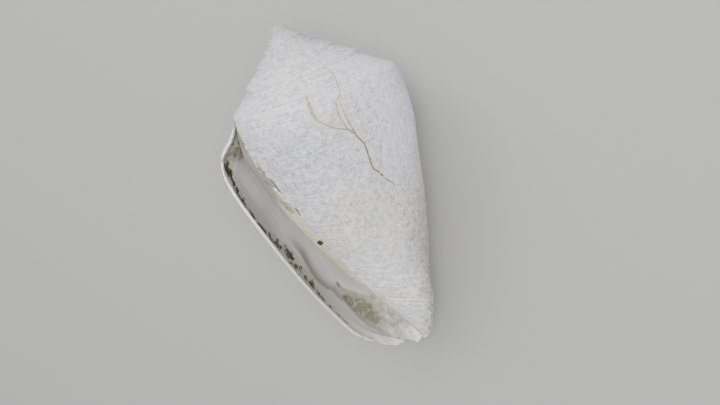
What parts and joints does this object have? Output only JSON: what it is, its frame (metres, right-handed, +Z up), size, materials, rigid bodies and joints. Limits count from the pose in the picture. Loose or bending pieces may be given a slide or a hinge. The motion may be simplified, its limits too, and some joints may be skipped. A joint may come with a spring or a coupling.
{
  "type": "fossil cone shell",
  "caption": "Left-handed fossil cone shell with a low stepped spire, a long open aperture and a broken front margin, lying on its back.",
  "frame": {"origin": "centre of the bounding box in plan, on the surface that the shell lies on", "axes": "+Z up. The shell lies on its back with the aperture facing up. +Y runs along the shell toward the tip of the spire, and -Y toward the open front end. +X is away from the lip."},
  "size_m": [0.0538, 0.099, 0.0501],
  "materials": {
    "shell": "matt bleached chalky shell, smoother and greyer inside the aperture"
  },
  "bodies": {
    "root": {"shell": "shell"}
  },
  "joints": []
}
